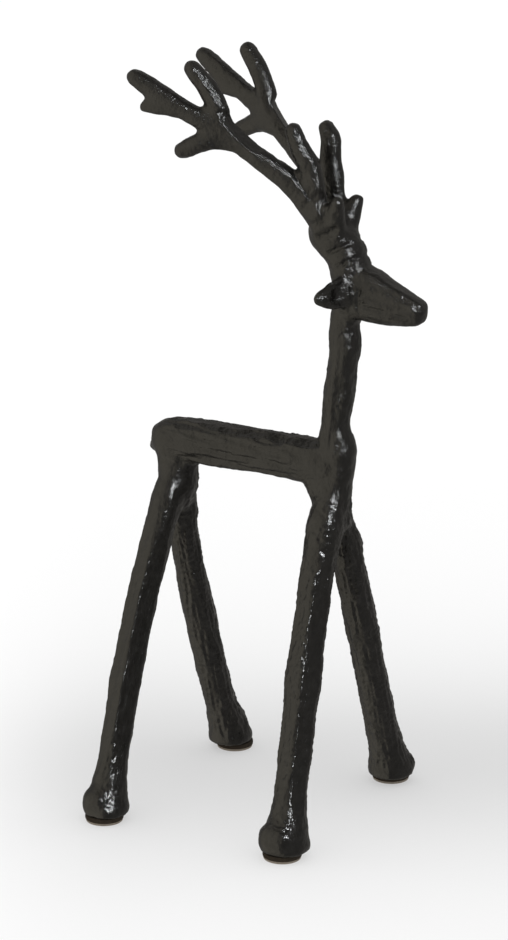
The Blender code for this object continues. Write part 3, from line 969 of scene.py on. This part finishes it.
class StudioSettings(bpy.types.PropertyGroup):
    """The floor, the light and the camera."""

    floor_colour: FloatVectorProperty(
        name="Floor", description="Colour of the pale floor", subtype="COLOR",
        default=(0.96, 0.96, 0.96),
    )
    shade_colour: FloatVectorProperty(
        name="Shade", description="Colour of the floor's soft shade", subtype="COLOR",
        default=(0.70, 0.70, 0.70),
    )
    floor_glow: FloatProperty(
        name="Floor Glow",
        description="Share of its light that the floor gives itself, which keeps shadows faint",
        default=0.6, subtype="FACTOR",
    )
    light: FloatProperty(
        name="Light", description="Strength of the even light", default=1.06,
    )
    focal_length: FloatProperty(
        name="Focal Length", description="Focal length in millimetres", default=135.0,
    )


class STAG_OT_casting(bpy.types.Operator):
    """Build the skin of the casting over its solid"""

    bl_idname = "stag.casting"
    bl_label = "Casting"

    def execute(self, context):
        settings = context.scene.stag_casting
        piece = rough_casting("cast_stag", settings.voxel)
        skin = Skin(piece.data)
        soften_junctions(skin)
        spread_soles(skin)
        swell(skin)
        skin.press(settings.relief)
        skin.crook(0.6, 5.0)
        skin.find_limbs()
        round_brow(skin)
        shave_limbs(skin)
        for work in (shape_crown, shape_ears, shape_head, shape_antlers, shape_trunk, work_neck, work_legs):
            work(skin)
        skin.press(settings.relief)
        turn_away(skin)
        skin.settle()
        skin.crook(0.4, 3.0)
        pock_nape(skin)
        roughen(skin)
        skin.press(settings.relief)
        skin.crook(0.0, 1.0)
        plane_flats(skin)
        keep_inside(skin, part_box(CASTING))
        lighten(piece, settings.triangles)
        piece.data.materials.clear()
        piece.data.materials.append(iron_material(settings))
        piece.data.shade_smooth()
        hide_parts(CASTING)
        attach(piece, ROOT)
        return {"FINISHED"}


class STAG_OT_foot_pads(bpy.types.Operator):
    """Build the four felt pads"""

    bl_idname = "stag.foot_pads"
    bl_label = "Foot Pads"

    def execute(self, context):
        settings = context.scene.stag_pads
        felt, backing = felt_material(settings), backing_material(settings)
        for name in LEGS:
            piece = felt_pad(name.replace("foot_pad", "felt_pad"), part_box(name))
            piece.data.materials.append(felt)
            piece.data.materials.append(backing)
            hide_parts(name)
            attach(piece, ROOT)
        return {"FINISHED"}


def studio_world(scene, light):
    """Soft even light. Glossy surfaces see a pale wall on one side, and dim surroundings elsewhere."""
    world = bpy.data.worlds.new("studio")
    scene.world = world
    world.use_nodes = True
    world.node_tree.nodes.clear()
    kit = NodeKit(world.node_tree)
    place = kit.nodes.new("ShaderNodeTexCoord")
    split = kit.nodes.new("ShaderNodeSeparateXYZ")
    kit.links.new(place.outputs["Generated"], split.inputs[0])
    east, north, up = split.outputs
    turn = kit.calculate("DIVIDE", kit.calculate("ARCTAN2", east, north), math.tau)
    turn = kit.calculate("FRACT", kit.calculate("ADD", turn, 1.0))

    def between(elevations):
        """How far the view has risen from the lower to the higher elevation, in degrees."""
        return kit.rise(up, *(math.sin(math.radians(elevation)) for elevation in elevations))

    starts, full, still_full, ends = (azimuth / 360 for azimuth in WALL_EDGES)
    wall = kit.calculate("MULTIPLY", kit.rise(turn, starts, full), kit.rise(turn, ends, still_full))
    seen = FLOOR_SEEN
    for elevations, brightness in BANDS:
        seen = kit.mix(between(elevations), seen, kit.band(wall, brightness))
    seen = kit.mix(between(CEILING_FADE), seen, CEILING_SEEN)
    clutter = kit.nodes.new("ShaderNodeTexNoise")
    set_values(clutter, {"Scale": 6.5, "Detail": 5.0, "Roughness": 0.65})
    kit.links.new(place.outputs["Generated"], clutter.inputs["Vector"])
    glossy = kit.nodes.new("ShaderNodeBackground")
    kit.feed(glossy.inputs["Color"], seen)
    kit.feed(glossy.inputs["Strength"], kit.calculate("MULTIPLY_ADD", clutter.outputs["Fac"], 1.6, 0.2))
    soft = kit.nodes.new("ShaderNodeBackground")
    set_values(soft, {"Color": (1, 1, 1, 1), "Strength": light})
    rays = kit.nodes.new("ShaderNodeLightPath")
    choose = kit.nodes.new("ShaderNodeMixShader")
    kit.feed(choose.inputs[0], rays.outputs["Is Glossy Ray"])
    kit.feed(choose.inputs[1], soft.outputs[0])
    kit.feed(choose.inputs[2], glossy.outputs[0])
    out = kit.nodes.new("ShaderNodeOutputWorld")
    kit.feed(out.inputs["Surface"], choose.outputs[0])


def strobe_light():
    """A hard light that only glossy surfaces show."""
    data = bpy.data.lights.new("strobe", "AREA")
    data.shape = "DISK"
    data.size = STROBE_SIZE
    data.energy = STROBE_POWER
    data.color = STROBE_TINT
    strobe = put("strobe", data)
    place = standing(STROBE_AIM, *STROBE_AT)
    strobe.location = place
    strobe.rotation_euler = Vector(STROBE_AIM - place).to_track_quat("-Z", "Y").to_euler()
    strobe.visible_diffuse = False


def floor_material(settings):
    """Pale and plain, with a broad soft shade under the stag."""
    finish, nodes, links = new_material("pale_floor")
    kit = NodeKit(finish.node_tree)
    place = nodes.new("ShaderNodeTexCoord")
    turned = nodes.new("ShaderNodeMapping")
    turned.vector_type = "TEXTURE"
    set_values(turned, {"Location": SHADE_AT, "Rotation": (0.0, 0.0, math.radians(SHADE_TURN))})
    links.new(place.outputs["Object"], turned.inputs["Vector"])
    split = nodes.new("ShaderNodeSeparateXYZ")
    links.new(turned.outputs[0], split.inputs[0])
    along = kit.calculate("ABSOLUTE", kit.calculate("SUBTRACT", split.outputs[0], SHADE_MIDDLE))
    across = kit.calculate("DIVIDE", kit.calculate("ABSOLUTE", split.outputs[1]), SHADE_HALF_WIDTH)
    across = kit.calculate("ADD", kit.calculate("POWER", across, SHADE_FALL), 1.0)
    across = kit.calculate("DIVIDE", 1.0, across)
    shade = kit.calculate("MULTIPLY", across, kit.rise(along, *SHADE_ENDS))
    colour = kit.mix(shade, (*settings.floor_colour, 1.0), (*settings.shade_colour, 1.0))
    shader = nodes["Principled BSDF"]
    glow = settings.floor_glow
    links.new(kit.mix(glow, colour, (0.0, 0.0, 0.0, 1.0)), shader.inputs["Base Color"])
    links.new(colour, shader.inputs["Emission Color"])
    shader.inputs["Emission Strength"].default_value = glow * settings.light
    set_values(shader, {"Roughness": 0.9, "Specular IOR Level": 0.0})
    return finish


class STAG_OT_studio(bpy.types.Operator):
    """Set up the floor, the light and the camera"""

    bl_idname = "stag.studio"
    bl_label = "Studio"

    def execute(self, context):
        scene = context.scene
        settings = scene.stag_studio
        scene.view_settings.view_transform = "Standard"
        mesh = bmesh.new()
        bmesh.ops.create_grid(mesh, x_segments=1, y_segments=1, size=15.0)
        floor = mesh_object("floor", mesh)
        floor.data.materials.append(floor_material(settings))
        floor.visible_glossy = False
        studio_world(scene, settings.light)
        strobe_light()
        camera_data = bpy.data.cameras.new("camera")
        camera_data.lens = settings.focal_length
        camera_data.sensor_width = 36.0
        camera_data.clip_end = 50.0
        camera = put("camera", camera_data)
        camera.location = camera_place()
        azimuth, elevation, _ = CAMERA_AT
        camera.rotation_euler = (math.radians(90 - elevation), 0, math.radians(180 - azimuth))
        scene.camera = camera
        return {"FINISHED"}


class STAG_PT_panel(bpy.types.Panel):
    """Everything that the stag is made of"""

    bl_label = "Cast Iron Stag"
    bl_idname = "STAG_PT_panel"
    bl_space_type = "VIEW_3D"
    bl_region_type = "UI"
    bl_category = "Stag"

    def draw(self, context):
        for operator, group in (
            ("stag.casting", context.scene.stag_casting),
            ("stag.foot_pads", context.scene.stag_pads),
            ("stag.studio", context.scene.stag_studio),
        ):
            box = self.layout.box()
            box.operator(operator)
            for name in group.__annotations__:
                box.prop(group, name)


CLASSES = (
    CastingSettings, PadSettings, StudioSettings,
    STAG_OT_casting, STAG_OT_foot_pads, STAG_OT_studio, STAG_PT_panel,
)


def register():
    for item in CLASSES:
        bpy.utils.register_class(item)
    bpy.types.Scene.stag_casting = PointerProperty(type=CastingSettings)
    bpy.types.Scene.stag_pads = PointerProperty(type=PadSettings)
    bpy.types.Scene.stag_studio = PointerProperty(type=StudioSettings)


def unregister():
    del bpy.types.Scene.stag_studio
    del bpy.types.Scene.stag_pads
    del bpy.types.Scene.stag_casting
    for item in reversed(CLASSES):
        bpy.utils.unregister_class(item)


def main():
    register()
    bpy.ops.stag.casting()
    bpy.ops.stag.foot_pads()
    bpy.ops.stag.studio()


if __name__ == "__main__":
    main()
